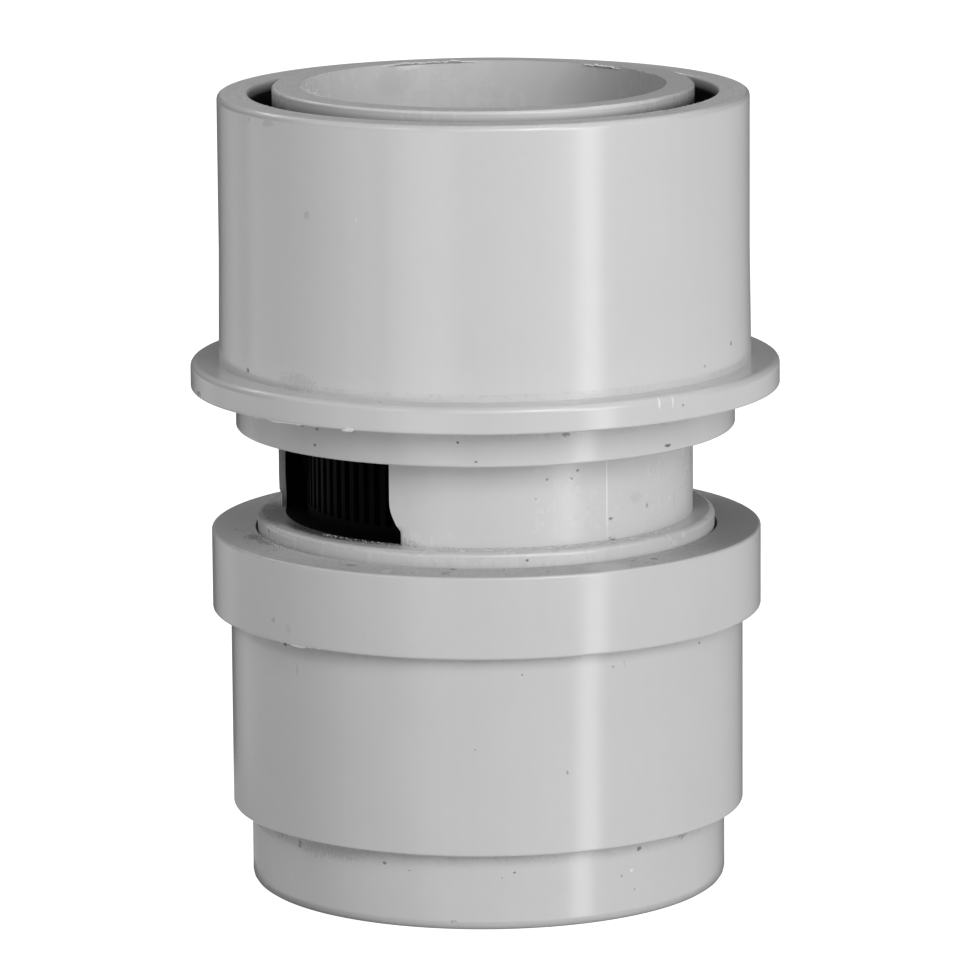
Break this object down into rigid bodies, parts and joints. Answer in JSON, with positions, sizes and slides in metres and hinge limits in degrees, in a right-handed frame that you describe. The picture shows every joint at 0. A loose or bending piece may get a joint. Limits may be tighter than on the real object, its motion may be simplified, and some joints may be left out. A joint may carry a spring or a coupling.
{
  "type": "air admittance valve",
  "caption": "Stepped round grey plastic air valve with a 50 mm pipe spigot, side air windows with insect screens and a lifting rubber diaphragm in a closed cap.",
  "frame": {"origin": "middle of the cap's flat bottom face, on which the part stands", "axes": "+Z along the common axis, from the cap towards the pipe end; the air windows face +X and -X"},
  "size_m": [0.056, 0.056, 0.0765],
  "materials": {
    "grey_plastic": "smooth moulded, matte on the cut end faces",
    "black_plastic": "moulded",
    "black_rubber": "smooth",
    "natural_plastic": "moulded"
  },
  "bodies": {
    "housing": {"cap": "grey_plastic", "valve_body": "grey_plastic", "connector_sleeve": "grey_plastic", "air_tube": "black_plastic", "left_insect_screen": "black_plastic", "right_insect_screen": "black_plastic", "cap_seal": "black_rubber", "tube_seal": "black_rubber"},
    "diaphragm_assembly": {"diaphragm": "black_rubber", "diaphragm_carrier": "natural_plastic", "clamp_ring": "natural_plastic"}
  },
  "joints": [
    {"name": "diaphragm_lift", "type": "slide", "parent": "housing", "child": "diaphragm_assembly", "axis": [0, 0, 1], "range_m": [0, 0.004]}
  ]
}
